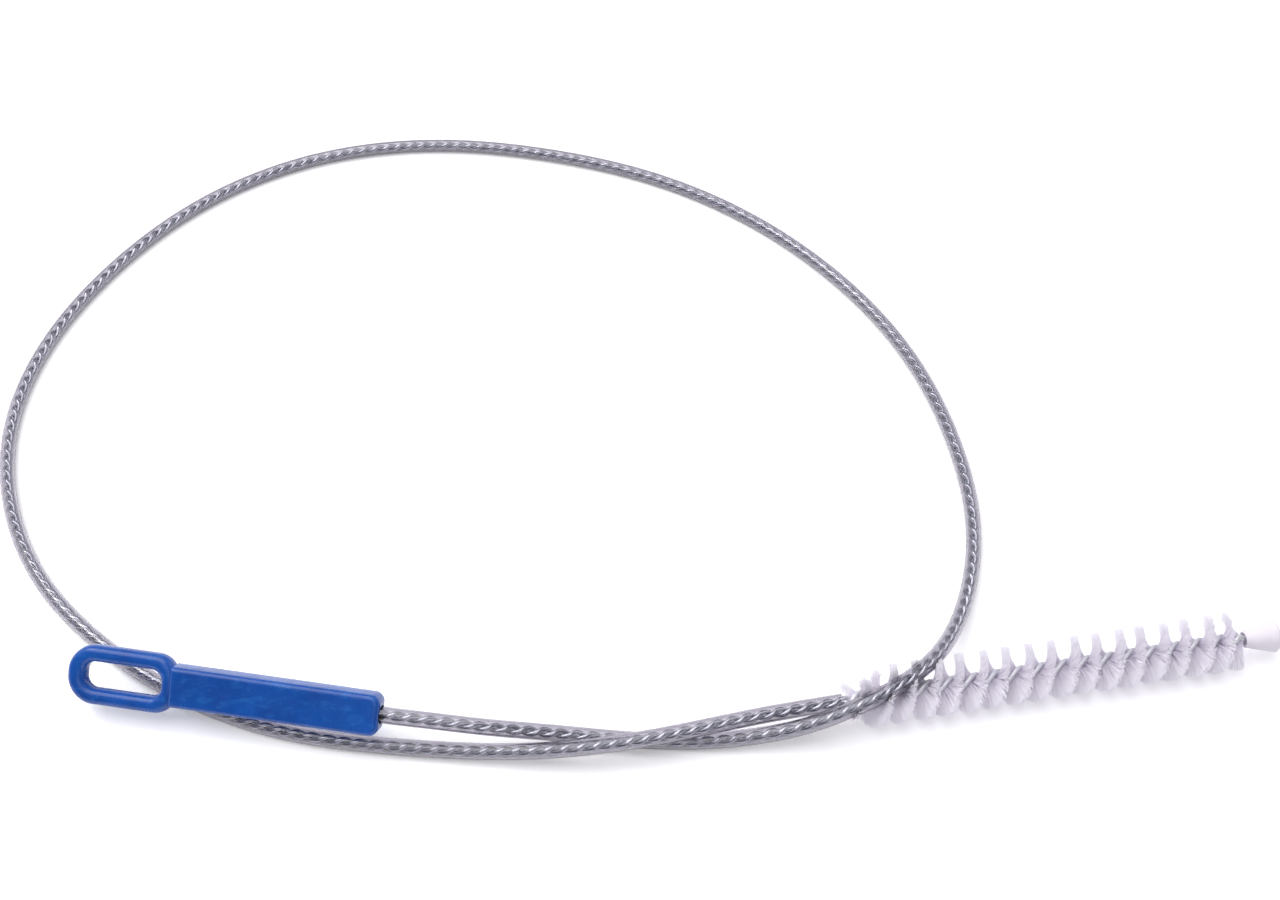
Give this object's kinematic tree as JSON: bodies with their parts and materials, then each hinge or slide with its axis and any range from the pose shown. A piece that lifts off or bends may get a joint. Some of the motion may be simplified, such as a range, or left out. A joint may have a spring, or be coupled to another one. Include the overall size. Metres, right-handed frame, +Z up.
{
  "type": "hose brush",
  "caption": "Long flexible brush for cleaning inside hoses and tubes: twisted-wire bristle head with a smooth tip, clear-sheathed stem, and a moulded handle with a hanging eye.",
  "frame": {"origin": "on the table top, under the middle of the box that holds the handle, the bristles and the tip", "axes": "+X from the handle to the bristle head, +Y to the far side of the stem's loop, +Z up from the table"},
  "size_m": [0.338, 0.2403, 0.0164],
  "materials": {
    "handle_plastic": "injection moulded, mid blue, glossy with soft edges",
    "clear_pvc": "extruded clear PVC over the twisted wires",
    "steel_wire": "bright drawn galvanised wire",
    "nylon": "fine white nylon filaments, cut square",
    "tip_plastic": "injection moulded, off-white, smooth"
  },
  "bodies": {
    "root": {"handle": "handle_plastic", "stem_sheath": "clear_pvc", "core_wire_a": "steel_wire", "core_wire_b": "steel_wire", "bristles": "nylon", "tip": "tip_plastic"}
  },
  "joints": []
}
